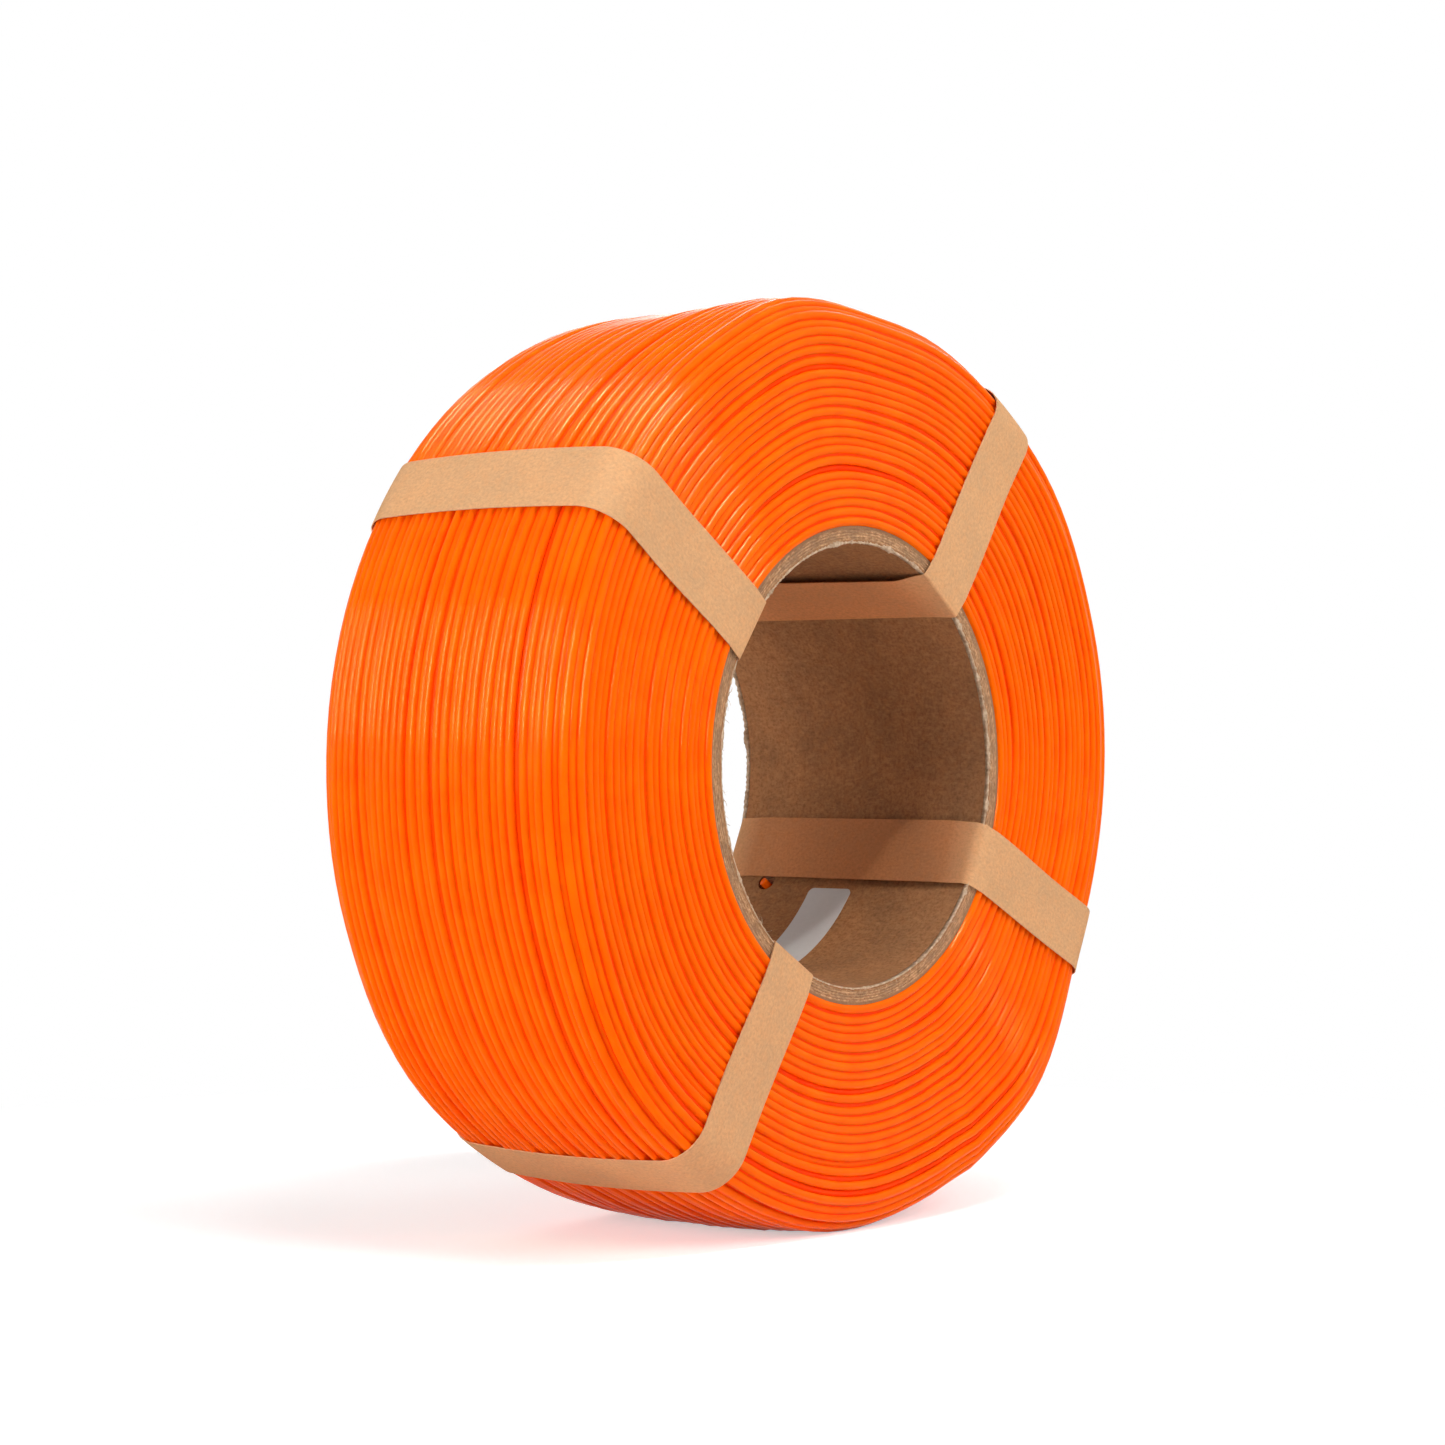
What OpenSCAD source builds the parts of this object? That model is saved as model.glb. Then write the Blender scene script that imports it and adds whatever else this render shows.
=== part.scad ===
// Refill coil of 3-D printer filament: one strand of round plastic wound on a
// paperboard tube, with no flanges, and tied by four paper straps.
// Millimetres. The tube's axis is Y, the front face looks to -Y and up is +Z.
// The origin is the middle of the tube's bore. The coil stands on its outer turns.

/* [Show] */
// Piece to build

/* [Core tube] */
// Diameter of the bore
core_id = 87.4; // [70:0.2:105]
// Thickness of the wall, with its liner plies
core_wall = 3.3; // [2:0.1:6]
// Length of the tube
core_len = 64; // [50:1:90]
// Thickness of the inner liner and of the outer ply
ply_t = 0.5; // [0.5:0.05:0.8]
// Diameter of the hole that the strand starts in
anchor_d = 4; // [3:0.2:6]
// Distance of that hole behind the middle of the tube
anchor_y = 20.4; // [-22:0.2:22]

/* [Strand and winding] */
// Diameter of the strand
fil_d = 1.75; // [1.5:0.05:2.2]
// Diameter over the outer turns
coil_d = 186; // [150:1:230]
// Width over the two side faces
coil_w = 63; // [50:1:90]
// Drop of the outer surface from its middle to its edges
crown = 1.5; // [0.5:0.1:3]
// Radius of the rounded shoulders
shoulder_r = 8; // [4:0.5:12]
// Distance that the outer turns' middle lies to the right of the tube's
coil_shift = 3.5; // [-4:0.5:4]
// Space between neighbouring outer turns
lay_gap = 0.75; // [0.5:0.05:1.5]

/* [Straps] */
// Width of the paper
strap_w = 13.6; // [8:0.2:20]
// Thickness of the paper
strap_t = 0.2; // [0.1:0.05:0.3]
// Place of each strap, in degrees from +X towards +Z
strap_angles = [53, 144, 239, 335]; // [0:1:359]

/* [Label] */
// Width of the label, along the bore
label_w = 11; // [6:0.5:16]
// Length of the label, round the bore
label_len = 30; // [15:1:36]
// Thickness of the label
label_t = 0.1; // [0.05:0.05:0.2]
// Radius of its corners
label_corner = 1.2; // [0.5:0.1:2.5]
// Distance of its middle behind the middle of the tube
label_y = 2.4; // [-20:0.2:20]
// Clearance of the strand's start from the strap above it
strap_clear = 0.35; // [0.2:0.05:1]

/* [Hidden] */
$fn = 120;
ring_n = 24;                       // rings in each outer turn
side_n = 6;                        // sides of the strand
end_lean = 60;                     // how far the outer turns reach round a shoulder
seat_clear = 0.1;                  // between an outer turn's flats and the winding
start_proud = 0.2;                 // the strand's start past the bore's wall
start_turn = (floor(strap_angles[3] * ring_n / 360) + 0.5) * 360 / ring_n;  // both ends lie under strap 4
label_drop = 2;                    // from strap 4's edge down to the label

fil_r = fil_d / 2;
bore_r = core_id / 2;
core_r = bore_r + core_wall;
coil_r = coil_d / 2;
half_w = coil_w / 2;
rim_y = core_len / 2;
face_y = max(half_w, rim_y);

// The coil's outer skin is a wide crown arc that runs into two shoulder arcs.
crown_r = (pow(half_w, 2) + pow(crown, 2)) / (2 * crown);
crown_c = coil_r - crown_r;
shoulder_y = half_w - shoulder_r;
shoulder_c = crown_c + sqrt(pow(crown_r - shoulder_r, 2) - pow(shoulder_y, 2));
lean = asin(shoulder_y / (crown_r - shoulder_r));
flat_r = shoulder_c - abs(coil_shift);  // the side faces are flat this far from the tube's axis

// [radius, distance along the axis] under the skin, where the skin leans by a
function skin(a, depth) = abs(a) <= lean
    ? [crown_c + (crown_r - depth) * cos(a), (crown_r - depth) * sin(a)]
    : [shoulder_c + (shoulder_r - depth) * cos(a),
       sign(a) * shoulder_y + (shoulder_r - depth) * sin(a)];
function lean_steps(top, n) = concat(
    [for (i = [n : -1 : 1]) -lean - (top - lean) * i / n],
    [for (i = [-3 : 3]) lean * i / 3],
    [for (i = [1 : n]) lean + (top - lean) * i / n]);

// The outer layer is one helix, laid at an even pitch across the skin.
crown_run = (crown_r - fil_r) * lean * PI / 180;
lay_half = crown_run + (shoulder_r - fil_r) * (end_lean - lean) * PI / 180;
turns = floor(2 * lay_half / (fil_d + lay_gap));
pitch = 2 * lay_half / turns;
last = turns * ring_n;
lift = fil_r + (coil_r - fil_r) * (1 - cos(180 / ring_n)) + seat_clear;
rest_z = (coil_r - fil_r + fil_r * cos(180 / side_n)) * cos(180 / ring_n) - fil_d / 10;

function lay_lean(s) = abs(s) <= crown_run
    ? s / (crown_r - fil_r) * 180 / PI
    : sign(s) * (lean + (abs(s) - crown_run) / (shoulder_r - fil_r) * 180 / PI);
function turn_lean(k) = lay_lean(pitch * k / ring_n - lay_half);
function turn_angle(k) = start_turn + 360 * k / ring_n;
function at(p, angle) = [coil_shift + p[0] * cos(angle), p[1], p[0] * sin(angle)];

// One ring of the strand. out and along turn its plane into the bends at the ends.
function ring(k, depth, out, along) =
    let (a = turn_lean(k), t = turn_angle(k), p = skin(a, depth))
    [for (i = [0 : side_n - 1])
        let (c = 360 * (i + 0.5) / side_n, u = fil_r * cos(c), v = fil_r * sin(c),
             q = at([p[0] + u * out * cos(a) - v * sin(a),
                     p[1] + u * out * sin(a) + v * cos(a)], t)
                 + u * along * [-sin(t), 0, cos(t)])
        [q[0], q[1], max(q[2], -rest_z)]];
outer_rings = concat(
    [ring(0, fil_r + lift, 0, -1), ring(0, fil_r, 1, -1)],
    [for (k = [1 : last - 1]) ring(k, fil_r, 1, 0)],
    [ring(last, fil_r, 1, 1), ring(last, fil_r + lift, 0, 1)]);

// Each ring's middle is measured to those of the next turn, the nearest to it.
middles = [for (k = [0 : last]) at(skin(turn_lean(k), fil_r), turn_angle(k))];
least_gap = min([for (k = [0 : last - ring_n], j = [k + ring_n / 2 : k + ring_n])
    norm(middles[j] - middles[k])]) - fil_d;
echo(str(turns, " outer turns, least gap to themselves ", least_gap, " mm"));

// The strand's start and its hole sit just below strap 4, where it runs in the bore.
strap_edge = strap_angles[3] - asin(strap_w / 2 / bore_r);
start_angle = strap_edge - asin((fil_r + strap_clear) / bore_r);
anchor_angle = start_angle + asin((anchor_d / 2 - fil_r) / 2 / bore_r);
label_angle = strap_edge - (label_drop + label_len / 2) / bore_r * 180 / PI;

// Outlines that the paper goes round, grown by its thickness: the turns' in a half-plane
// from their own axis, and the tube's from its axis, with the paper's way down to the turns
function turns_outline(t) = concat(
    [[0, -half_w - t]],
    [for (a = lean_steps(90, 8)) skin(a, -t)],
    [[0, half_w + t]]);
function tube_outline(t) = [
    [bore_r - t, -rim_y - t], [core_r, -face_y - t], [flat_r, -half_w - t],
    [flat_r, half_w + t], [core_r, face_y + t], [bore_r - t, rim_y + t]];

// Turns a shape about Z into one about Y, with its angles from +X towards +Z
module about_axis() rotate([90, 0, 0]) children();
module about_turns() translate([coil_shift, 0, 0]) about_axis() children();

// Places a shape that points along +X at an angle round the tube
module spoke(angle, y) translate([0, y, 0]) rotate([0, -angle, 0]) children();

module tube(outer, inner, length) about_axis() difference() {
    cylinder(h = length, r = outer, center = true);
    cylinder(h = length + 2, r = inner, center = true);
}

module anchor_hole() spoke(anchor_angle, anchor_y) translate([bore_r - 2, 0, 0])
    rotate([0, 90, 0]) cylinder(h = core_wall + 4, d = anchor_d, $fn = 48);

module strand_mesh(rings) polyhedron(
    points = [for (r = rings) each r],
    faces = concat(
        [for (k = [0 : len(rings) - 2], i = [0 : side_n - 1])
            let (a = k * side_n + i, b = k * side_n + (i + 1) % side_n)
            each [[a, b, a + side_n], [b, b + side_n, a + side_n]]],
        [for (i = [1 : side_n - 2]) [0, i + 1, i]],
        [for (i = [1 : side_n - 2]) let (e = (len(rings) - 1) * side_n) [e, e + i, e + i + 1]]));

module core_board() color("#8f7257") difference() {
    tube(core_r - ply_t, bore_r + ply_t, core_len);
    anchor_hole();
}

module core_liner() color("#7a5335") difference() {
    tube(bore_r + ply_t, bore_r, core_len);
    anchor_hole();
}

module core_ply() color("#a98a68") difference() {
    tube(core_r, core_r - ply_t, core_len);
    anchor_hole();
}

// All the layers under the outer one, as one plain body with room for the outer turns
module winding() {
    seat = [for (a = lean_steps(end_lean, 5)) skin(a, fil_r + lift)];
    edge = seat[len(seat) - 1];
    face_r = edge[0] - (half_w - edge[1]);
    color("#f2620a") difference() {
        about_turns() rotate_extrude() polygon(concat(
            [[0, -half_w], [face_r, -half_w]], seat, [[face_r, half_w], [0, half_w]]));
        about_axis() cylinder(h = coil_w + 2, r = core_r, center = true);
    }
}

module outer_turns() color("#ff6a10") strand_mesh(outer_rings);

module start_end() color("#ff6a10") intersection() {
    about_axis() cylinder(h = core_len, r = core_r, center = true);
    spoke(start_angle, anchor_y) translate([bore_r - start_proud, 0, 0])
        rotate([0, 90, 0]) cylinder(h = core_wall + 4, d = fil_d, $fn = 48);
}

// Turns and tube as one ring round the bore, grown by the paper's thickness
module wrapped(t) {
    difference() {
        about_turns() rotate_extrude() polygon(turns_outline(t));
        about_axis() cylinder(h = 2 * coil_w, r = core_r, center = true);
    }
    about_axis() rotate_extrude() polygon(tube_outline(t));
}

module strap(i) color("#d9a878") intersection() {
    difference() {
        wrapped(strap_t);
        wrapped(0);
    }
    rotate([0, -strap_angles[i], 0]) translate([0, -coil_w - core_len, -strap_w / 2])
        cube([coil_d, 2 * (coil_w + core_len), strap_w]);
}

module label() color("#e8e4de") intersection() {
    translate([0, label_y, 0]) tube(bore_r, bore_r - label_t, label_w + 2);
    spoke(label_angle, label_y) rotate([0, 90, 0]) linear_extrude(bore_r + 2) label_outline();
}

// The chord of a label that lies flat against the bore, with round corners
module label_outline() {
    across = 2 * bore_r * sin(label_len / 2 / bore_r * 180 / PI);
    square([across - 2 * label_corner, label_w], center = true);
    square([across, label_w - 2 * label_corner], center = true);
    for (x = [-1, 1], y = [-1, 1])
        translate([x * (across / 2 - label_corner), y * (label_w / 2 - label_corner)])
            circle(r = label_corner, $fn = 32);
}

core_board();
core_liner();
core_ply();
winding();
outer_turns();
start_end();
strap(0);  // strap_1
strap(1);  // strap_2
strap(2);  // strap_3
strap(3);  // strap_4
label();
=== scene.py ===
"""Looks for a flangeless refill coil: one strand of orange plastic wound on a
paperboard tube and tied with four kraft-paper straps. Sizes below are in
millimetres and take the names of the CAD source; meshes are made in metres."""

import math

import bpy
import numpy as np
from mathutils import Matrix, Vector


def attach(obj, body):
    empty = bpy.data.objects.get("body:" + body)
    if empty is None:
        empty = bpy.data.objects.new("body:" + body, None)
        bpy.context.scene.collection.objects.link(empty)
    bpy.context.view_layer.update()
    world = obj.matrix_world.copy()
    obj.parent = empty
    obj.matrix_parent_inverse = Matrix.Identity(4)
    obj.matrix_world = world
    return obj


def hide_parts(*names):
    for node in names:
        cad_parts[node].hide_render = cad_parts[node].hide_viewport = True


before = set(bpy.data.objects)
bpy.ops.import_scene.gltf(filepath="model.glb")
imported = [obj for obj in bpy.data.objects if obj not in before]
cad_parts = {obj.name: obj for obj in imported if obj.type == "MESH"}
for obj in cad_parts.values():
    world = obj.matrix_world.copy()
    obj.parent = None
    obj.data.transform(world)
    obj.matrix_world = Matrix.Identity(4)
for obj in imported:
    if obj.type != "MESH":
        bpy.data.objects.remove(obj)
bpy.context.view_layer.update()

MM = 0.001
TAU = 2 * math.pi

# ---- Sizes, as in the CAD source -------------------------------------------
BORE_R, CORE_WALL, CORE_LEN = 43.7, 3.3, 64.0
FIL_R = 0.875
COIL_R, HALF_W, CROWN, SHOULDER_R = 93.0, 31.5, 1.5, 8.0
COIL_SHIFT = 3.5
STRAP_W, STRAP_T = 13.6, 0.2
STRAP_ANGLES = (53, 144, 239, 335)
ANCHOR_Y, STRAP_CLEAR = 20.4, 0.35
CORE_R = BORE_R + CORE_WALL
RIM_Y = CORE_LEN / 2

CROWN_R = (HALF_W**2 + CROWN**2) / (2 * CROWN)
CROWN_C = COIL_R - CROWN_R
SHOULDER_Y = HALF_W - SHOULDER_R
SHOULDER_C = CROWN_C + math.sqrt((CROWN_R - SHOULDER_R) ** 2 - SHOULDER_Y**2)
LEAN = math.asin(SHOULDER_Y / (CROWN_R - SHOULDER_R))

# ---- Sizes of the looks ----------------------------------------------------
STAND_Z = -92.2  # the surface that the coil stands on
# How far the turns stand out between the straps, or are drawn in, at angles round the coil
BULGES = {20: -0.1, 40: 0.9, 60: 0.0, 75: -0.2, 93: 0.4, 115: -0.2, 140: 0.1, 180: 0.1, 200: 0.4,
          217: 1.2, 245: -0.6, 270: 0.4, 282: 0.2, 290: 0.5, 298: 2.0, 311: 3.4, 335: -1.8}
# Lumps and dips that don't go across the coil: angle, place along the axis and size
LUMPS = ((105, -27, 1.2), (86, -27, -1.1), (100, 6, -1.2))
LUMP_REACH = (9, 12)  # in degrees and in mm
FACE_LIFT, LIFT_REACH = 1.25, 30.0  # the turns beside the core stand past its ends

STRAND_STEPS, STRAND_SIDES, UNDER_SIDES = 120, 10, 6  # steps to a turn, sides to a strand
# The least and greatest step between turns, turns to a group and the groove after a group
FACE_GAP = (1.66, 1.95, (1, 3), (0.25, 0.75))
OUTER_GAP = (1.68, 1.8, (4, 7), (0.5, 1.1))
SINK, SWAY = 0.5, 0.45  # how far turns lie deeper than others, and wander along the skin
DIVE = 3  # how deep both ends of the strand go, under a strap
NEST_DROP, NEST_SINK = 0.46, 0.4  # depth of the turns below, and more of it in a groove
BED_DEPTH = 3.2

# Each strap's bend over the core's edge, how far its bore run stands off the wall, how that
# run leans and how far round the coil its back end is from its front end, both in degrees
STRAP_BENDS = (0.5, 0.6, 0.6, 2.4)
STRAP_OFFS = (0.65, 0.6, 0.6, 0.5)
STRAP_LEANS = (-8, 0, 0, -3)
STRAP_SKEWS = (1.9, 0, 0, 0.4)
OFF_REACH = 7.0  # the way into the bore over which a strap leaves its wall
PAPER_GAP, RIM_GAP = 0.03, 0.35  # between paper and strands, and between paper and rim
RIPPLE, RIPPLE_LENGTH = 0.06, 37  # the paper's soft waves over the side faces
FOLD_ANGLE = 50  # edges sharper than this stay crisp

STRAND_SEED, STRAP_SEED, TORN_SEED = 7, 20, 31

# Half the outer strands' way across the coil: crown, shoulder, then face
CROWN_RUN = (CROWN_R - FIL_R) * LEAN
SHOULDER_RUN = (SHOULDER_R - FIL_R) * (math.pi / 2 - LEAN)
FACE_RUN = SHOULDER_C - CORE_R - FIL_R
HALF_RUN = CROWN_RUN + SHOULDER_RUN + FACE_RUN


# ---- Meshes ----------------------------------------------------------------
def make_piece(name, points, faces, material):
    """A smooth mesh from points in millimetres, which rides on the coil's one body."""
    mesh = bpy.data.meshes.new(name)
    mesh.from_pydata((np.asarray(points) * MM).tolist(), [], faces)
    mesh.polygons.foreach_set("use_smooth", np.full(len(mesh.polygons), True))
    mesh.materials.append(material)
    piece = bpy.data.objects.new(name, mesh)
    bpy.context.scene.collection.objects.link(piece)
    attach(piece, "root")
    return piece


def grid_faces(rows, columns, closed_rows=False, first=0):
    """Quads of a grid that is stored row by row, and whose rows are rings of points."""
    r = np.arange(rows if closed_rows else rows - 1)[:, None]
    c = np.arange(columns)[None, :]
    r2, c2 = (r + 1) % rows, (c + 1) % columns
    quads = np.stack([r * columns + c, r * columns + c2, r2 * columns + c2, r2 * columns + c], -1)
    return quads.reshape(-1, 4) + first


def add_map(mesh, name, corners):
    """A UV map from one (u, v) for each corner of each face."""
    layer = mesh.uv_layers.new(name=name)
    layer.data.foreach_set("uv", np.asarray(corners, np.float32).ravel())


def ease(x):
    """A smooth step from 0 to 1."""
    x = np.clip(x, 0, 1)
    return x * x * (3 - 2 * x)


def share(r):
    """Share of the coil's shift and bulges: none at the core, all from the shoulders out."""
    return np.clip((r - CORE_R) / (SHOULDER_C - CORE_R), 0, 1)


def bulge(turn):
    """How far the outer turns stand out at an angle from +X towards +Z."""
    angle = np.degrees(turn) % 360
    at = np.concatenate([np.array(list(BULGES)) + lap for lap in (-360, 0, 360)])
    size = np.tile(list(BULGES.values()), 3)
    i = np.searchsorted(at, angle) - 1
    return size[i] + (size[i + 1] - size[i]) * ease((angle - at[i]) / (at[i + 1] - at[i]))


def lumps(turn, y):
    """How far the lumps raise the outer turns at an angle and a place along the axis."""
    total = 0
    for angle, at, size in LUMPS:
        apart = ((np.degrees(turn) - angle + 180) % 360 - 180) / LUMP_REACH[0]
        total = total + size * np.exp(-apart**2 - ((y - at) / LUMP_REACH[1]) ** 2)
    return total


def place(r, turn, y, level=None):
    """Points at a radius, an angle and a place along the axis, on the shifted coil."""
    part = share(r if level is None else level)
    out = r + part * (bulge(turn) + lumps(turn, y))
    x, z = part * COIL_SHIFT + out * np.cos(turn), out * np.sin(turn)
    return np.stack([x, np.broadcast_to(y, x.shape), z], -1)


# ---- The strand ------------------------------------------------------------
def face_lift(r):
    """How far the side faces stand out, most of all beside the core."""
    return FACE_LIFT * ease(1 - (r - CORE_R) / LIFT_REACH)


def skin(s, depth):
    """Radius and place along the axis under the coil's skin, and the skin's normal."""
    u, side = np.abs(s), np.where(s < 0, -1.0, 1.0)
    on_crown = u <= CROWN_RUN
    lean = np.where(on_crown, u / (CROWN_R - FIL_R),
                    LEAN + (u - CROWN_RUN) / (SHOULDER_R - FIL_R))
    lean = np.minimum(lean, math.pi / 2)
    past = np.maximum(u - CROWN_RUN - SHOULDER_RUN, 0)
    c, n = np.cos(lean), np.sin(lean)
    r = np.where(on_crown, CROWN_C + (CROWN_R - depth) * c,
                 SHOULDER_C + (SHOULDER_R - depth) * c - past)
    y = side * np.where(on_crown, (CROWN_R - depth) * n,
                        SHOULDER_Y + (SHOULDER_R - depth) * n + face_lift(r))
    return r, y, c, side * n


def waves(rng, s, turn, count, amp, shortest, longest, most):
    """A smooth random field over the skin that closes round the coil."""
    total = 0
    for _ in range(count):
        k = rng.integers(0, most + 1)
        length, start = rng.uniform(shortest, longest), rng.uniform(0, TAU)
        total = total + np.sin(k * turn + TAU * s / length * rng.choice([-1, 1]) + start)
    return amp * math.sqrt(2 / count) * total


def lay_gaps(rng):
    """Where each turn of one strand starts, from the back rim to the front one."""
    at = [-HALF_RUN]
    while at[-1] < HALF_RUN:
        on_face = abs(at[-1]) > CROWN_RUN + SHOULDER_RUN / 2
        low, high, size, groove = FACE_GAP if on_face else OUTER_GAP
        for _ in range(rng.integers(size[0], size[1] + 1)):
            at.append(at[-1] + rng.uniform(low, high))
        at[-1] += rng.uniform(*groove)
    at = np.array(at)
    return (at + HALF_RUN) * (2 * HALF_RUN / (at[-1] + HALF_RUN)) - HALF_RUN


def stepped(k, values, width=0.12):
    """A value that holds through each turn k and moves to the next near the turn's end."""
    n = np.round(k).astype(int)
    last, this = values[np.maximum(n - 1, 0)], values[np.minimum(n, len(values) - 1)]
    return last + (this - last) * ease((k - n) / width + 0.5)


def face_squeeze(s, turn):
    """The shift narrows the faces on one side of the core and widens them on the other."""
    on_face = np.clip((np.abs(s) - CROWN_RUN - SHOULDER_RUN) / 4, 0, 1)
    return 1 + on_face * COIL_SHIFT / (SHOULDER_C - CORE_R) * np.cos(turn)


def settle(s, depth, turn):
    """Pushes neighbouring turns apart until they lie side by side under the skin."""
    steps, rounds, smooth_every = STRAND_STEPS, 60, 6
    for i in range(rounds):
        ds = (s[steps:] - s[:-steps]) * face_squeeze(s[steps:], turn[steps:])
        dd = depth[steps:] - depth[:-steps]
        apart = np.hypot(ds, dd) + 1e-9  # never nothing
        push = np.maximum(2 * FIL_R - apart, 0) / (2 * apart)
        s[:-steps] -= push * ds
        s[steps:] += push * ds
        depth[:-steps] -= push * dd
        depth[steps:] += push * dd
        depth[:] = np.maximum(depth, FIL_R)
        if (i + 1) % smooth_every == 0:
            for line in (s, depth):
                line[2:-2] = (line[:-4] + 2 * line[1:-3] + 3 * line[2:-2]
                              + 2 * line[3:-1] + line[4:]) / 9
        s[:steps], s[-steps:] = -HALF_RUN, HALF_RUN
        depth[:steps] = depth[-steps:] = FIL_R
    return np.clip(s, -HALF_RUN, HALF_RUN), depth


def lay_strand(rng):
    """One strand over the whole skin: its place along the skin, its depth and its angle."""
    starts = lay_gaps(rng)
    turns = len(starts)
    k = np.arange(turns * STRAND_STEPS + 1) / STRAND_STEPS
    turn = TAU * k + math.radians(STRAP_ANGLES[3])
    s = stepped(k, starts)
    sunk = rng.choice([0.0, 0.3, 0.6, 1.0], turns + 1, p=[0.42, 0.26, 0.18, 0.14])
    depth = FIL_R + SINK * stepped(k, sunk, 0.6)
    depth = depth + np.abs(waves(rng, s, turn, 8, 0.25 * SINK, 9, 40, 3))
    s = s + waves(rng, s, turn, 10, SWAY, 7, 22, 3)
    s, depth = settle(s, depth, turn)
    to_end = np.minimum(np.arange(len(k)), np.arange(len(k))[::-1])
    return s, depth + np.maximum(DIVE - to_end, 0), turn


def nest(s, depth, turn):
    """The turns below, which lie in the valleys between those of a laid strand."""
    steps = STRAND_STEPS
    half = (s[steps:] - s[:-steps]) / 2 * face_squeeze(s[steps:], turn[steps:])
    drop = NEST_DROP + NEST_SINK * np.maximum(half - FIL_R, 0)
    return (s[steps:] + s[:-steps]) / 2, (depth[steps:] + depth[:-steps]) / 2 + drop, turn[steps:]


def strand(name, lay, sides, material):
    """A round tube along one laid strand, with a map that unrolls it."""
    s, depth, turn = lay
    turns = (len(turn) - 1) // STRAND_STEPS
    mean_r, margin = 70, 0.04
    r, y, nr, ny = skin(s, depth)
    down = np.maximum(-np.sin(turn), 1e-6)
    lowest = (-STAND_Z - FIL_R) / down - share(r) * bulge(turn)
    r = np.where(np.sin(turn) < 0, np.minimum(r, lowest), r)  # none goes through the floor
    c = TAU * np.arange(sides) / sides
    out, along = FIL_R * np.cos(c), FIL_R * np.sin(c)
    rr = r[:, None] + out * nr[:, None] - along * ny[:, None]
    yy = y[:, None] + out * ny[:, None] + along * nr[:, None]
    points = place(rr, turn[:, None], yy, level=r[:, None]).reshape(-1, 3)
    quads = grid_faces(len(turn), sides)
    ends = [list(range(sides))[::-1], list(range((len(turn) - 1) * sides, len(turn) * sides))]
    piece = make_piece(name, points, quads.tolist() + ends, material)
    row, column = np.divmod(np.arange(len(quads)), sides)
    lap, step = np.divmod(row, STRAND_STEPS)
    lap = lap[:, None]
    u = np.stack([step, step, step + 1, step + 1], -1) / STRAND_STEPS
    v = np.stack([column, column + 1, column + 1, column], -1) / sides
    unrolled = np.stack([u, (lap + margin + (1 - 2 * margin) * v) / turns], -1).reshape(-1, 2)
    length = np.stack([(u + lap) * TAU * mean_r * MM, v * TAU * FIL_R * MM], -1).reshape(-1, 2)
    cap = np.zeros((2 * sides, 2))
    add_map(piece.data, "OFBake", np.vstack([unrolled, cap]))
    add_map(piece.data, "run", np.vstack([length, cap]))
    return piece


def bed(name, material):
    """The winding's plain inside, which only shows as shade between strands."""
    steps, across = 180, 91
    s = np.linspace(-HALF_RUN, HALF_RUN, across)
    r, y, _, _ = skin(s, np.full(s.shape, BED_DEPTH))
    r = np.maximum(r, CORE_R)
    r = np.concatenate([[CORE_R], r, [CORE_R]])
    y = np.concatenate([[y[0]], y, [y[-1]]])
    turn = TAU * np.arange(steps) / steps
    points = place(r[None, :], turn[:, None], y[None, :]).reshape(-1, 3)
    quads = grid_faces(steps, len(r), closed_rows=True)[:, ::-1]
    return make_piece(name, points, quads.tolist(), material)


# ---- Straps ----------------------------------------------------------------
def strap_line(bend, bore_off):
    """The paper's middle round the section, as (radius, y) points: straight through the
    bore, over the core's edge in an arc, up to the first turn and then to the shoulder."""
    lift = STRAP_T / 2 + PAPER_GAP
    bore, rim, face = BORE_R - lift, RIM_Y + lift + RIM_GAP, HALF_W + lift
    arc_r, arc_y = bore + 0.75 * bend, rim - bend
    turn_r, turn_y = CORE_R + FIL_R, face + face_lift(CORE_R + FIL_R)
    half = []  # from the middle of the bore round the back to the middle of the crown
    for y in np.linspace(0, arc_y, 44)[:-1]:
        half.append((arc_r - bend - bore_off * ease((arc_y - y) / OFF_REACH), y))
    for a in np.linspace(0, math.pi / 2, 10):
        half.append((arc_r - bend * math.cos(a), arc_y + bend * math.sin(a)))
    for r in np.linspace(arc_r, turn_r, 8)[1:]:
        half.append((r, rim + (turn_y - rim) * (r - arc_r) / (turn_r - arc_r)))
    for r in np.linspace(turn_r, SHOULDER_C, 44)[1:-1]:
        half.append((r, face + face_lift(r)))
    for a in np.linspace(math.pi / 2, LEAN, 22):
        half.append((SHOULDER_C + (SHOULDER_R + lift) * math.cos(a),
                     SHOULDER_Y + (SHOULDER_R + lift) * math.sin(a)))
    for a in np.linspace(LEAN, 0, 32)[1:]:
        half.append((CROWN_C + (CROWN_R + lift) * math.cos(a), (CROWN_R + lift) * math.sin(a)))
    half = np.array(half)
    other = half[::-1][1:-1] * [1, -1]
    return np.vstack([half, other])


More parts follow.
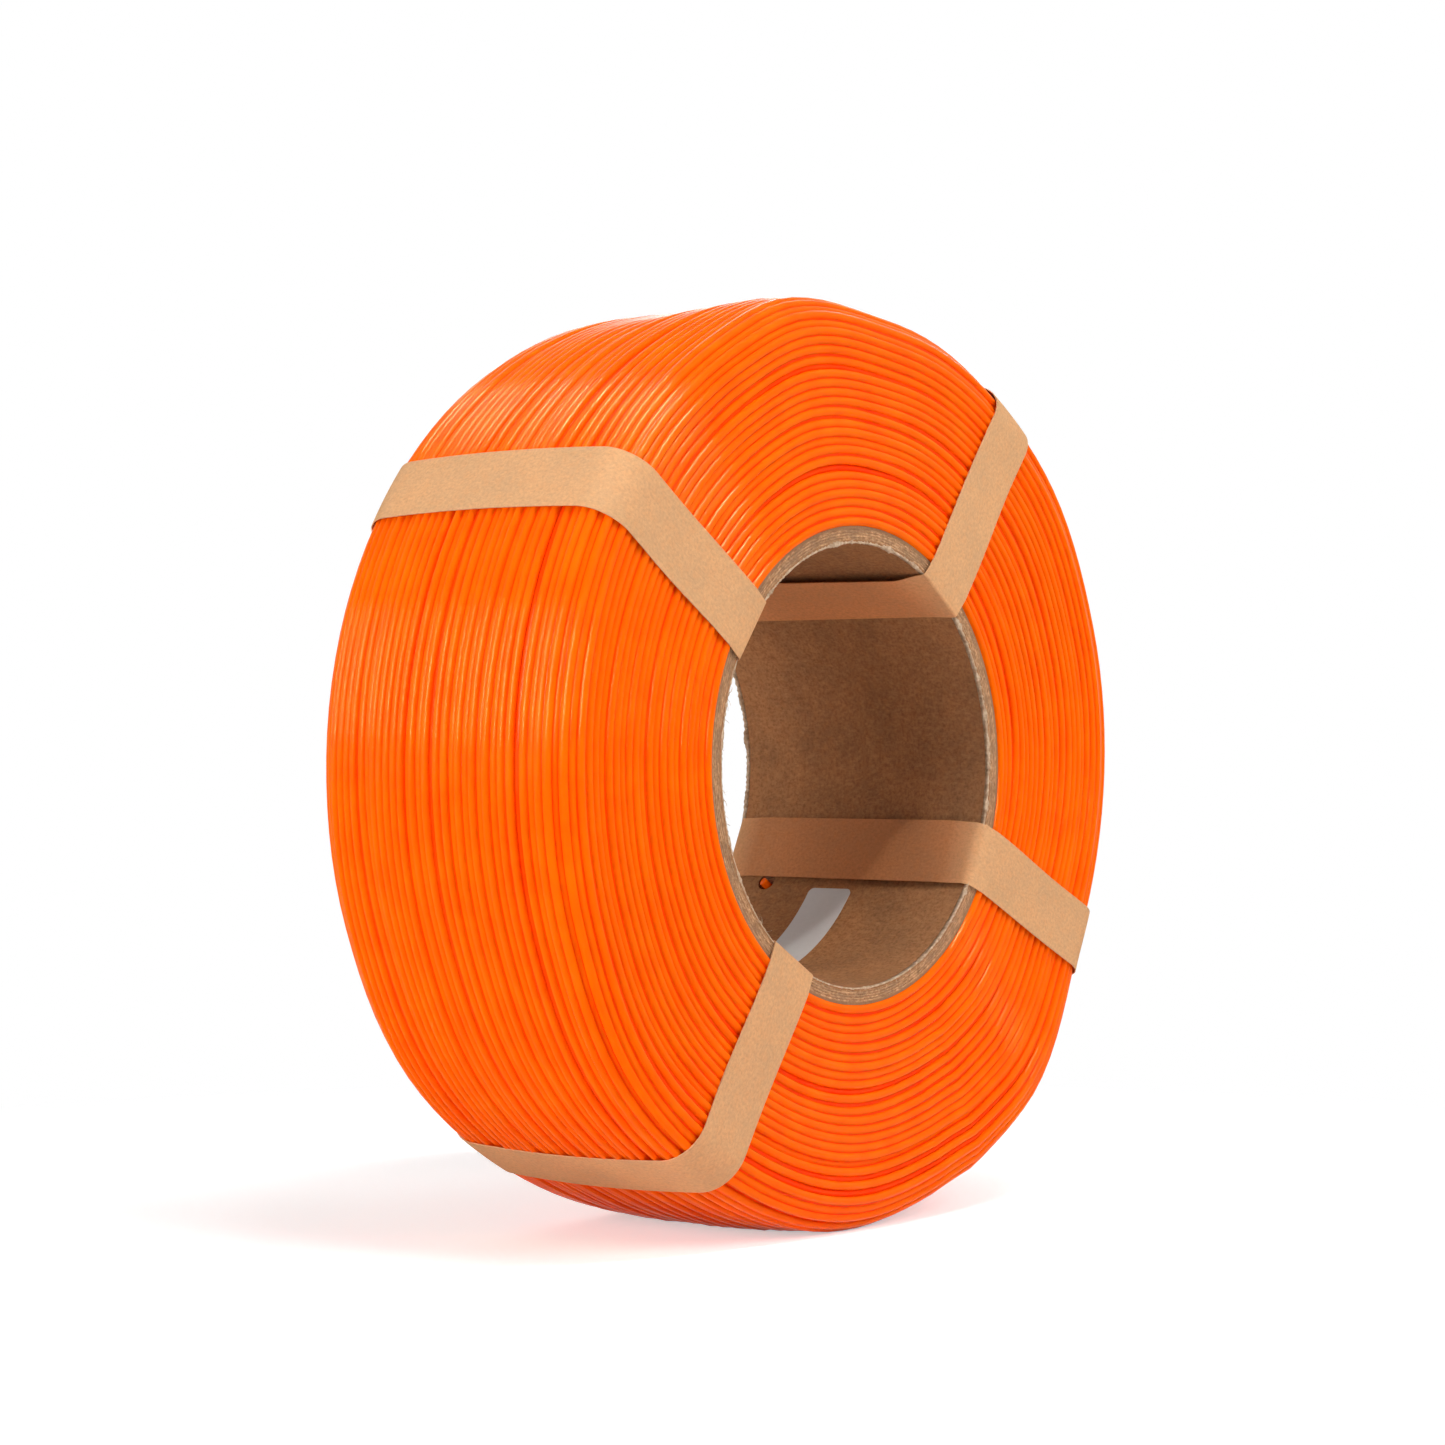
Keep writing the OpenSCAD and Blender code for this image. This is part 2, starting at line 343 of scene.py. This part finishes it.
def strap(name, angle, bend, bore_off, lean, skew, rng, material):
    """One closed band of paper, taut round the section, with its thickness."""
    line, a = strap_line(bend, bore_off), math.radians(angle)
    n, across = len(line), 9
    w = np.linspace(-STRAP_W / 2, STRAP_W / 2, across)
    r, shift = line[:, :1], COIL_SHIFT * share(line[:, :1])
    hug = shift * math.cos(a) + np.sqrt(r**2 - (w + shift * math.sin(a)) ** 2)
    hug = hug + share(r) * bulge(a + w / r)
    chord = shift * math.cos(a) + np.sqrt(r**2 - (STRAP_W / 2) ** 2)
    round_across = np.clip((r - BORE_R - 2) / 12, 0, 1)
    rise = round_across * hug + (1 - round_across) * chord
    inside = ease((RIM_Y - np.abs(line[:, 1:])) / OFF_REACH) * (r < CORE_R)
    fade = 0.6 - 0.4 * line[:, 1:] / RIM_Y  # it leans more towards the front
    rise = rise + inside * fade * math.tan(math.radians(lean)) * w
    middle = np.stack([rise[:, across // 2], line[:, 1]], -1)
    step = np.roll(middle, -1, 0) - np.roll(middle, 1, 0)
    step /= np.linalg.norm(step, axis=1)[:, None]
    nr = np.broadcast_to(step[:, 1:], rise.shape)
    ny = np.broadcast_to(-step[:, :1], rise.shape)
    run = np.concatenate([[0], np.cumsum(np.linalg.norm(np.roll(middle, -1, 0) - middle, axis=1))])
    y, wide = np.broadcast_to(line[:, 1:], rise.shape), np.broadcast_to(w, rise.shape)
    on_face = np.clip((r - CORE_R) / 8, 0, 1) * np.clip((SHOULDER_C + 3 - r) / 8, 0, 1)
    phase = TAU * run[:-1, None] / RIPPLE_LENGTH + rng.uniform(0, 6) + wide * 0.2
    ripple = RIPPLE * on_face * np.sin(phase)
    sides = []
    for offset in (STRAP_T / 2 + ripple, ripple - STRAP_T / 2):
        sides.append(np.stack([rise + nr * offset, wide, y + ny * offset], -1))
    ring = np.concatenate([sides[0], sides[1][:, ::-1]], 1)  # radial, across, y
    at = a + math.radians(skew) * (ring[..., 2] / RIM_Y + 1) / 2
    points = np.stack([ring[..., 0] * np.cos(at) - ring[..., 1] * np.sin(at), ring[..., 2],
                       ring[..., 0] * np.sin(at) + ring[..., 1] * np.cos(at)], -1)
    quads = grid_faces(n, 2 * across, closed_rows=True)
    piece = make_piece(name, points.reshape(-1, 3), quads.tolist(), material)
    piece.data.set_sharp_from_angle(angle=math.radians(FOLD_ANGLE))
    row, column = np.divmod(np.arange(len(quads)), 2 * across)
    wide_at, column2 = np.concatenate([w, w[::-1]]), (column + 1) % (2 * across)
    u = np.stack([run[row], run[row], run[row + 1], run[row + 1]], -1)
    v = np.stack([wide_at[column], wide_at[column2], wide_at[column2], wide_at[column]], -1)
    add_map(piece.data, "paper", (np.stack([u, v], -1) * MM).reshape(-1, 2))
    return piece, run[-1]


# ---- The core's small parts ------------------------------------------------
def from_straps(degrees):
    """How far an angle, or each of an array, is from the nearest strap."""
    return np.min([np.abs((degrees - a + 180) % 360 - 180) for a in STRAP_ANGLES], 0)


def torn_edge(name, rng, material):
    """The liner's torn lip and loose fibres along both inner edges of the core."""
    steps, fibres, points, faces = 900, 80, [], []
    turn = TAU * np.arange(steps) / steps

    def ragged(count, low, high):
        total = 0
        for _ in range(count):
            k = rng.integers(low, high)
            total = total + np.sin(k * turn + rng.uniform(0, TAU)) * rng.uniform(0.4, 1)
        return total / math.sqrt(count)

    loose = ease((from_straps(np.degrees(turn)) - 8) / 4)  # the straps press the edge flat
    # The edge is most worn at the upper right
    worn = 0.35 + 0.65 * ease((np.cos(turn - math.radians(45)) + 0.6) / 1.2)
    for side in (-1, 1):
        coarse, fine = ragged(9, 8, 45), ragged(14, 90, 300)
        flaps = 2.2 * np.maximum(coarse - 0.25, 0)
        tear = worn * loose * np.clip(0.3 + flaps + 0.5 * fine, 0, 2.6)
        inward, wide = 0.04 + 0.35 * tear, 0.14 + 0.32 * tear
        proud = 0.03 + loose * 0.14 * np.clip(0.4 + 0.5 * coarse + 0.6 * fine, 0, 2)
        section = [(BORE_R - 0.02, -0.9), (BORE_R - inward, -0.15), (BORE_R - 0.6 * inward, proud),
                   (BORE_R + wide, 0.5 * proud), (BORE_R + wide + 0.1, -0.05)]
        first = len(points)
        rows = [np.stack([r * np.cos(turn), side * (RIM_Y + y + 0 * turn), r * np.sin(turn)], -1)
                for r, y in section]
        points.extend(np.stack(rows, 1).reshape(-1, 3).tolist())
        quads = grid_faces(steps, len(section), closed_rows=True, first=first)
        faces.extend((quads if side < 0 else quads[:, ::-1]).tolist())
        for _ in range(fibres):
            add_fibre(rng, side, points, faces)
    return make_piece(name, points, faces, material)


def add_fibre(rng, side, points, faces):
    """One loose paper fibre: a thin three-sided blade that bends away from the edge."""
    turn = rng.uniform(0, TAU)
    if from_straps(math.degrees(turn)) < 11:
        return
    length, thick = rng.uniform(0.3, 1.3) ** 1.3, rng.uniform(0.05, 0.13)
    way = rng.normal(0, 1, 3) * [0.7, 0.35, 1.0]  # inward, out of the face, along the edge
    way = way / np.linalg.norm(way) * length
    radial = np.array([math.cos(turn), 0, math.sin(turn)])
    along = np.array([-math.sin(turn), 0, math.cos(turn)])
    out = np.array([0, side, 0])
    base = radial * (BORE_R + rng.uniform(0, 0.3)) + np.array([0, side * (RIM_Y + 0.02), 0])
    first = len(points)
    for k, t in enumerate((0, 0.4, 0.75, 1)):
        bend = (-radial * way[0] * t + out * abs(way[1]) * math.sin(2 * t)
                + along * way[2] * (t + 0.3 * t * t))
        for c in range(3):
            spoke = radial * math.cos(TAU * c / 3) + out * math.sin(TAU * c / 3)
            points.append((base + bend + spoke * thick * (1 - 0.75 * t)).tolist())
        if k:
            a, b = first + 3 * (k - 1), first + 3 * k
            faces.extend([a + c, a + (c + 1) % 3, b + (c + 1) % 3, b + c] for c in range(3))
    faces.append([first + 2, first + 1, first])
    faces.append([first + 9, first + 10, first + 11])


def strand_start(name, material):
    """The strand's first end, which comes through the core's wall and was snipped off."""
    sides, proud, slant, tilt = 20, 1.0, 0.3, 0.09
    edge = math.radians(STRAP_ANGLES[3]) - math.asin(STRAP_W / 2 / BORE_R)
    turn = edge - math.asin((FIL_R + STRAP_CLEAR) / BORE_R)
    radial = np.array([math.cos(turn), 0, math.sin(turn)])
    across = np.array([-math.sin(turn), 0, math.cos(turn)])
    axis = np.array([0, 1, 0])
    # The radius of each ring and its size beside the strand's own
    rings = [(CORE_R, 1.0), (BORE_R + 1.5, 1.0), (BORE_R - proud + 0.12, 1.0),
             (BORE_R - proud + 0.03, 0.96), (BORE_R - proud, 0.86)]
    c = TAU * np.arange(sides)[:, None] / sides
    points = []
    for r, size in rings:
        cut = slant * np.cos(c) * FIL_R * (r < BORE_R)
        y = ANCHOR_Y + tilt * (BORE_R - r) + size * FIL_R * np.cos(c)
        points.append(radial * (r + cut) + axis * y + across * (size * FIL_R * np.sin(c)))
    points = np.concatenate(points)
    last = (len(rings) - 1) * sides
    ends = [list(range(last, last + sides)), list(range(sides))[::-1]]
    faces = grid_faces(len(rings), sides).tolist() + ends
    return make_piece(name, points, faces, material)


# ---- Materials -------------------------------------------------------------
class Nodes:
    """Short hands for building one material's nodes."""

    def __init__(self, name):
        self.material = bpy.data.materials.new(name)
        self.material.use_nodes = True
        self.tree = self.material.node_tree
        self.shader = self.tree.nodes["Principled BSDF"]

    def add(self, kind, **settings):
        """A node whose settings are inputs, by name, or else properties."""
        node = self.tree.nodes.new(kind)
        for key, value in settings.items():
            if key in node.inputs:
                node.inputs[key].default_value = value
            else:
                setattr(node, key, value)
        return node

    def link(self, a, b):
        self.tree.links.new(a, b)

    def feed(self, socket, value):
        """Gives a socket another one's output, or a number."""
        if hasattr(value, "links"):
            self.link(value, socket)
        else:
            socket.default_value = value

    def place(self, scale=(1, 1, 1), map_name=None):
        """Coordinates in metres, stretched by scale."""
        source = (self.add("ShaderNodeUVMap", uv_map=map_name).outputs[0] if map_name
                  else self.add("ShaderNodeTexCoord").outputs["Object"])
        node = self.add("ShaderNodeMapping")
        node.inputs["Scale"].default_value = scale
        self.link(source, node.inputs["Vector"])
        return node.outputs[0]

    def noise(self, vector, scale, detail=3.0, rough=0.5):
        node = self.add("ShaderNodeTexNoise")
        node.inputs["Scale"].default_value = scale
        node.inputs["Detail"].default_value = detail
        node.inputs["Roughness"].default_value = rough
        self.link(vector, node.inputs["Vector"])
        return node.outputs["Fac"]

    def ramp(self, value, stops):
        node = self.add("ShaderNodeValToRGB")
        elements = node.color_ramp.elements
        while len(elements) < len(stops):
            elements.new(0.5)
        for element, (at, colour) in zip(elements, stops):
            element.position = at
            element.color = (*colour, 1)
        self.link(value, node.inputs["Fac"])
        return node.outputs["Color"]

    def span(self, value, low, high, from_low=0.0, from_high=1.0):
        """The value, moved from its own range to one from low to high."""
        node = self.add("ShaderNodeMapRange")
        for i, x in enumerate((from_low, from_high, low, high)):
            node.inputs[i + 1].default_value = x
        self.link(value, node.inputs[0])
        return node.outputs[0]

    def mix(self, fac, a, b, blend="MIX"):
        node = self.add("ShaderNodeMix", data_type="RGBA", blend_type=blend)
        for socket, value in ((node.inputs[0], fac), (node.inputs[6], a), (node.inputs[7], b)):
            if hasattr(value, "links"):
                self.link(value, socket)
            else:
                socket.default_value = value if isinstance(value, float) else (*value, 1)
        return node.outputs[2]

    def maths(self, operation, a, b=0.5):
        node = self.add("ShaderNodeMath", operation=operation)
        for socket, value in zip(node.inputs, (a, b)):
            self.feed(socket, value)
        return node.outputs[0]

    def bump(self, height, distance, strength=1.0):
        node = self.add("ShaderNodeBump")
        node.inputs["Distance"].default_value = distance
        node.inputs["Strength"].default_value = strength
        self.link(height, node.inputs["Height"])
        self.link(node.outputs[0], self.shader.inputs["Normal"])

    def radius(self, vector):
        """Distance from the coil's axis."""
        apart = self.add("ShaderNodeSeparateXYZ")
        self.link(vector, apart.inputs[0])
        x, _, z = apart.outputs
        squares = self.maths("ADD", self.maths("MULTIPLY", x, x), self.maths("MULTIPLY", z, z))
        return self.maths("SQRT", squares)

    def rings(self, along, across):
        """Coordinates for a grain that runs in rings round the coil's axis."""
        vector = self.place()
        radius = self.radius(vector)
        apart = self.add("ShaderNodeSeparateXYZ")
        self.link(vector, apart.inputs[0])
        joined = self.add("ShaderNodeCombineXYZ")
        for i in (0, 2):
            way = self.maths("DIVIDE", apart.outputs[i], radius)
            self.link(self.maths("MULTIPLY", way, CORE_R * MM * along), joined.inputs[i])
        self.link(self.maths("MULTIPLY", radius, across), joined.inputs[1])
        return joined.outputs[0]

    def fix(self, name, value):
        """A value that is the same all over goes straight on the shader's socket."""
        self.shader.inputs[name].default_value = value

    def set(self, **values):
        for name, value in values.items():
            self.feed(self.shader.inputs[name.replace("_", " ")], value)


KRAFT = (0.665, 0.366, 0.178)
PAINTED_BORE_SHADE = (0.86, 0.655, 0.57)  # painted shade: the straps' paper is darkened and reddened on its runs through the bore
STRAP_PAINTED_SHADE_SCALES = (1.14, 1, 1, 0.88)  # painted shade, stronger on some straps than on others
LINER = (0.355, 0.162, 0.069)
PLY = (0.34, 0.19, 0.1)
ORANGES = ((1.0, 0.12, 0.0005), (1.0, 0.15, 0.0008))
# Painted shade: the turns below and the winding's inside show only between the outer turns, and their
# redder colours stand in for the red light that reaches them through the turns above
UNDER_PAINTED_SHADE_ORANGES = ((1.0, 0.05, 0.0003), (1.0, 0.07, 0.0004))
BED_PAINTED_SHADE_ORANGES = ((1.0, 0.08, 0.001), (1.0, 0.11, 0.001))


def filament_material(name, map_name=None, tones=ORANGES):
    """Extruded plastic: even colour, faint draw lines along it and a soft gloss."""
    m = Nodes(name)
    spot = m.place((30, 5200, 1), map_name) if map_name else m.place((900, 900, 900))
    lines = m.noise(spot, 1.0, 3.0)
    patches = m.noise(m.place(), 130.0, 2.0)
    tone = m.mix(m.span(patches, 0.0, 1.0, 0.3, 0.7), *tones)
    m.set(Base_Color=tone, Roughness=m.span(lines, 0.07, 0.11, 0.3, 0.7))
    m.fix("Specular IOR Level", 0.04)
    m.fix("Specular Tint", (1.0, 0.74, 0.42, 1))
    m.bump(lines, 0.000004, 0.3)
    return m.material


def bed_material():
    """Plastic in the shade between strands, with redder colours as painted shade."""
    m = Nodes("filament_shade")
    patches = m.noise(m.place(), 300.0, 2.0)
    m.set(Base_Color=m.mix(patches, *BED_PAINTED_SHADE_ORANGES), Roughness=0.6)
    m.fix("Specular IOR Level", 0.05)
    return m.material


def tinted(base, k, warm=0.0):
    """A colour made lighter or darker, and warmer or cooler."""
    return tuple(min(1.0, c * k * w) for c, w in zip(base, (1 + warm, 1, 1 - warm)))


def kraft_material(name, base, map_name=None, spread=1.0, clouding=0.1, shade=None):
    """Kraft paper: fine fibres, darker and paler specks and a soft mottle, and, where a shade is
    given, painted shade deep in the bore.
    """
    m = Nodes(name)
    vector = m.place(map_name=map_name)
    along = m.place((900, 1900, 1) if map_name else (1500, 600, 1500), map_name)
    clouds = m.noise(vector, 95.0, 3.0, 0.55)
    blots = m.noise(vector, 520.0, 2.0, 0.5)
    mottle = m.noise(vector, 1500.0, 4.0, 0.62)
    fibre = m.noise(along, 1.0, 4.0, 0.65)
    specks = m.noise(vector, 3100.0, 2.0, 0.5)
    cloudy = m.ramp(clouds, [(0.35, tinted(base, 1 - clouding, -0.03)), (0.5, base),
                             (0.65, tinted(base, 1 + 0.8 * clouding, 0.04))])
    blotted = m.mix(m.span(blots, 0.0, 0.8, 0.45, 0.7), cloudy, tinted(base, 0.97, 0.07))
    body = m.mix(m.span(mottle, 0.0, 0.6, 0.42, 0.68), blotted, tinted(base, 1 - 0.28 * spread))
    fibres = m.mix(m.span(fibre, 0.0, 0.5, 0.48, 0.74), body, tinted(base, 1 + 0.25 * spread))
    dots = m.mix(m.span(specks, 0.0, 0.5, 0.66, 0.78), fibres, tinted(base, 0.5))
    # Painted shade: deep inside the bore the paper's colour is multiplied by the shade colour
    if shade:
        spot = m.place()
        apart = m.add("ShaderNodeSeparateXYZ")
        m.link(spot, apart.inputs[0])
        deep = m.span(m.maths("ABSOLUTE", apart.outputs[1]), 1.0, 0.0, 0.025, 0.034)
        inside = m.span(m.radius(spot), 1.0, 0.0, 0.0434, 0.0442)
        dots = m.mix(m.maths("MULTIPLY", deep, inside), dots, shade, "MULTIPLY")
    m.set(Base_Color=dots, Roughness=m.span(fibre, 0.7, 0.9, 0.3, 0.7))
    m.fix("Specular IOR Level", 0.03)
    m.bump(m.mix(0.5, fibre, mottle), 0.00005, 0.5)
    return m.material


def board_material():
    """The cut end of a spiral-wound board: thin plies, and pale and grey fibre."""
    m = Nodes("core_board_cut")
    ply, waver = 0.00052, 0.00012
    vector = m.place()
    wobble = m.span(m.noise(vector, 90.0, 2.0), -waver, waver)
    wavy = m.maths("ADD", m.radius(vector), wobble)
    plies = m.maths("SINE", m.maths("MULTIPLY", wavy, TAU / ply))
    grain = m.noise(m.rings(1000, 2300), 1.0, 4.0, 0.66)
    patches = m.noise(m.rings(200, 700), 1.0, 3.0, 0.6)
    body = m.ramp(grain, [(0.34, (0.31, 0.155, 0.073)), (0.5, (0.52, 0.275, 0.135)),
                          (0.66, (0.74, 0.44, 0.235))])
    grey = m.mix(m.span(patches, 0.0, 0.6, 0.42, 0.62), body, (0.28, 0.165, 0.095))
    lines = m.mix(m.span(plies, 0.0, 0.3, -0.1, 0.9), grey, (0.2, 0.105, 0.055))
    m.set(Base_Color=lines, Roughness=0.9)
    m.fix("Specular IOR Level", 0.05)
    m.bump(m.mix(0.4, grain, plies), 0.0003, 0.7)
    return m.material


def torn_material():
    """Pale fibre where the liner is torn."""
    m = Nodes("torn_paper")
    grain = m.noise(m.place(), 900.0, 4.0, 0.6)
    fibre = m.ramp(grain, [(0.34, (0.36, 0.23, 0.14)), (0.5, (0.5, 0.35, 0.23)),
                           (0.66, (0.64, 0.49, 0.35))])
    m.set(Base_Color=fibre, Roughness=0.95)
    m.fix("Specular IOR Level", 0.1)
    m.bump(grain, 0.0001, 0.6)
    return m.material


def label_material():
    """Smooth white paper without print."""
    m = Nodes("label_paper")
    grain = m.noise(m.place(), 900.0, 4.0, 0.6)
    white = m.mix(grain, (0.48, 0.46, 0.44), (0.55, 0.53, 0.51))
    m.set(Base_Color=white, Roughness=m.span(grain, 0.45, 0.65))
    m.bump(grain, 0.00003, 0.4)
    return m.material


# ---- Stage -----------------------------------------------------------------
def camera_ray_mix(tree, plain, shown):
    """Shows a shader to the camera and to reflections, and another to the rest."""
    path = tree.nodes.new("ShaderNodeLightPath")
    total = None
    for name in ("Is Camera Ray", "Is Glossy Ray", "Is Transmission Ray"):
        if total is None:
            total = path.outputs[name]
        else:
            add = tree.nodes.new("ShaderNodeMath")
            add.operation, add.use_clamp = "ADD", True
            tree.links.new(total, add.inputs[0])
            tree.links.new(path.outputs[name], add.inputs[1])
            total = add.outputs[0]
    mix = tree.nodes.new("ShaderNodeMixShader")
    tree.links.new(total, mix.inputs[0])
    tree.links.new(plain, mix.inputs[1])
    tree.links.new(shown, mix.inputs[2])
    return mix.outputs[0]


def make_world(strength):
    """Soft light all round, which the camera and reflections see as white."""
    world = bpy.data.worlds.new("studio")
    bpy.context.scene.world = world
    world.use_nodes = True
    tree = world.node_tree
    soft = tree.nodes["Background"]
    soft.inputs["Color"].default_value = (1, 1, 1, 1)
    soft.inputs["Strength"].default_value = strength
    white = tree.nodes.new("ShaderNodeBackground")
    white.inputs["Color"].default_value = (1, 1, 1, 1)
    white.inputs["Strength"].default_value = 1.0
    tree.links.new(camera_ray_mix(tree, soft.outputs[0], white.outputs[0]),
                   tree.nodes["World Output"].inputs["Surface"])


def make_floor():
    """A plain pale floor that keeps the coil's shadow and fades to white round it."""
    size, z = 6.0, STAND_Z * MM
    fade_from, fade_to = 0.12, 0.3  # distances from the middle
    corners = [(-size, -size, z), (size, -size, z), (size, size, z), (-size, size, z)]
    mesh = bpy.data.meshes.new("floor")
    mesh.from_pydata(corners, [], [(0, 1, 2, 3)])
    m = Nodes("floor")
    pale = m.mix(m.noise(m.place(), 40.0), (0.88, 0.88, 0.88), (0.92, 0.92, 0.92))
    m.set(Base_Color=pale, Roughness=1.0)
    m.fix("Specular IOR Level", 0.0)
    glow = m.add("ShaderNodeEmission", Strength=0.45)
    lit = m.add("ShaderNodeAddShader")
    m.link(m.shader.outputs[0], lit.inputs[0])
    m.link(glow.outputs[0], lit.inputs[1])
    far = m.add("ShaderNodeVectorMath", operation="LENGTH")
    m.link(m.place((1, 1, 0)), far.inputs[0])
    fade = m.add("ShaderNodeMapRange", interpolation_type="SMOOTHSTEP")
    for i, value in enumerate((fade_from, fade_to, 0.0, 1.0)):
        fade.inputs[i + 1].default_value = value
    m.link(far.outputs["Value"], fade.inputs[0])
    shown = m.add("ShaderNodeMixShader")
    m.link(fade.outputs[0], shown.inputs[0])
    m.link(lit.outputs[0], shown.inputs[1])
    m.link(m.add("ShaderNodeEmission", Strength=1.0).outputs[0], shown.inputs[2])
    m.link(camera_ray_mix(m.tree, m.shader.outputs[0], shown.outputs[0]),
           m.tree.nodes["Material Output"].inputs["Surface"])
    mesh.materials.append(m.material)
    floor = bpy.data.objects.new("floor", mesh)
    bpy.context.scene.collection.objects.link(floor)


def lamp(name, where, size, power):
    """A soft lamp, aimed at the middle of the coil."""
    light = bpy.data.lights.new(name, "AREA")
    light.shape, light.size, light.size_y, light.energy = "RECTANGLE", size[0], size[1], power
    holder = bpy.data.objects.new(name, light)
    bpy.context.scene.collection.objects.link(holder)
    holder.location = where
    aim = Vector((0, 0, 0)) - Vector(where)
    holder.rotation_euler = aim.to_track_quat("-Z", "Y").to_euler()
    return holder


def gloss_lamp(name, where, size, power, colour):
    """A lamp that shows only as a highlight."""
    holder = lamp(name, where, size, power)
    holder.data.shape = "ELLIPSE"
    holder.data.color = colour
    holder.visible_diffuse = False


def make_camera():
    """The photograph's view: an 84 mm lens, level with the bore's axis."""
    distance, azimuth = 0.6796, math.radians(-51.07)
    back = Vector((math.sin(azimuth), -math.cos(azimuth), 0))
    data = bpy.data.cameras.new("camera")
    data.sensor_width, data.lens = 36.0, 83.64
    data.shift_x, data.shift_y = -0.0089, 0.0297
    data.clip_start, data.clip_end = 0.01, 50
    holder = bpy.data.objects.new("camera", data)
    bpy.context.scene.collection.objects.link(holder)
    holder.location = back * distance
    holder.rotation_euler = (-back).to_track_quat("-Z", "Y").to_euler()
    bpy.context.scene.camera = holder


# ---- The coil --------------------------------------------------------------
make_camera()
filament = filament_material("filament", "run")
outer_lay = lay_strand(np.random.default_rng(STRAND_SEED))
outer = strand("strand", outer_lay, STRAND_SIDES, filament)
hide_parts("outer_turns")
# The turns below carry the redder painted-shade colours
under = filament_material("filament_under_painted_shade", "run", UNDER_PAINTED_SHADE_ORANGES)
strand("strand_under", nest(*outer_lay), UNDER_SIDES, under)
core_fill = bed("winding_bed", bed_material())
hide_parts("winding")
start = strand_start("strand_start", filament_material("filament_end"))
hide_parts("start_end")

for i, angle in enumerate(STRAP_ANGLES):
    # Each strap's painted shade for its run through the bore
    shade = [STRAP_PAINTED_SHADE_SCALES[i] * c for c in PAINTED_BORE_SHADE]
    kraft = kraft_material(f"kraft_paper_{i + 1}", KRAFT, "paper", 0.9, 0.05, shade)
    band, length = strap(f"paper_strap_{i + 1}", angle, STRAP_BENDS[i], STRAP_OFFS[i],
                         STRAP_LEANS[i], STRAP_SKEWS[i],
                         np.random.default_rng(STRAP_SEED + i), kraft)
    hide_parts(f"strap_{i + 1}")

torn_edge("torn_edge", np.random.default_rng(TORN_SEED), torn_material())

# The core and the label keep their meshes and get better materials
for node, material in (("core_board", board_material()),
                       ("core_liner", kraft_material("core_liner", LINER, spread=2.0, clouding=0.13)),
                       ("core_ply", kraft_material("core_ply", PLY)),
                       ("label", label_material())):
    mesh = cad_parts[node].data
    mesh.materials.clear()
    mesh.materials.append(material)

# ---- Light -----------------------------------------------------------------
make_world(0.2)
make_floor()
lamp("top_front", (-0.1, -0.45, 0.95), (0.5, 0.02), 3.7)
lamp("top_back", (-0.1, -0.15, 1.0), (0.5, 0.02), 0.8)
lamp("front", (0.1, -1.2, 0.8), (0.9, 0.9), 11.0)
lamp("left", (-1.3, 0.0, 0.25), (0.6, 0.6), 5.2)
lamp("back", (-1.25, 0.4, 0.1), (0.4, 0.4), 4.8)
lamp("behind", (0.95, 0.95, 0.55), (0.9, 0.9), 6.0)
# These two make the highlight lines on the strand
gloss_lamp("gloss_top", (-0.13, -0.27, 0.95), (0.32, 0.42), 66, (1.0, 0.92, 0.62))
gloss_lamp("gloss_left", (-1.2, -0.2, 0.42), (0.9, 0.7), 140, (1.0, 0.9, 0.65))

scene = bpy.context.scene
scene.view_settings.view_transform = "Standard"
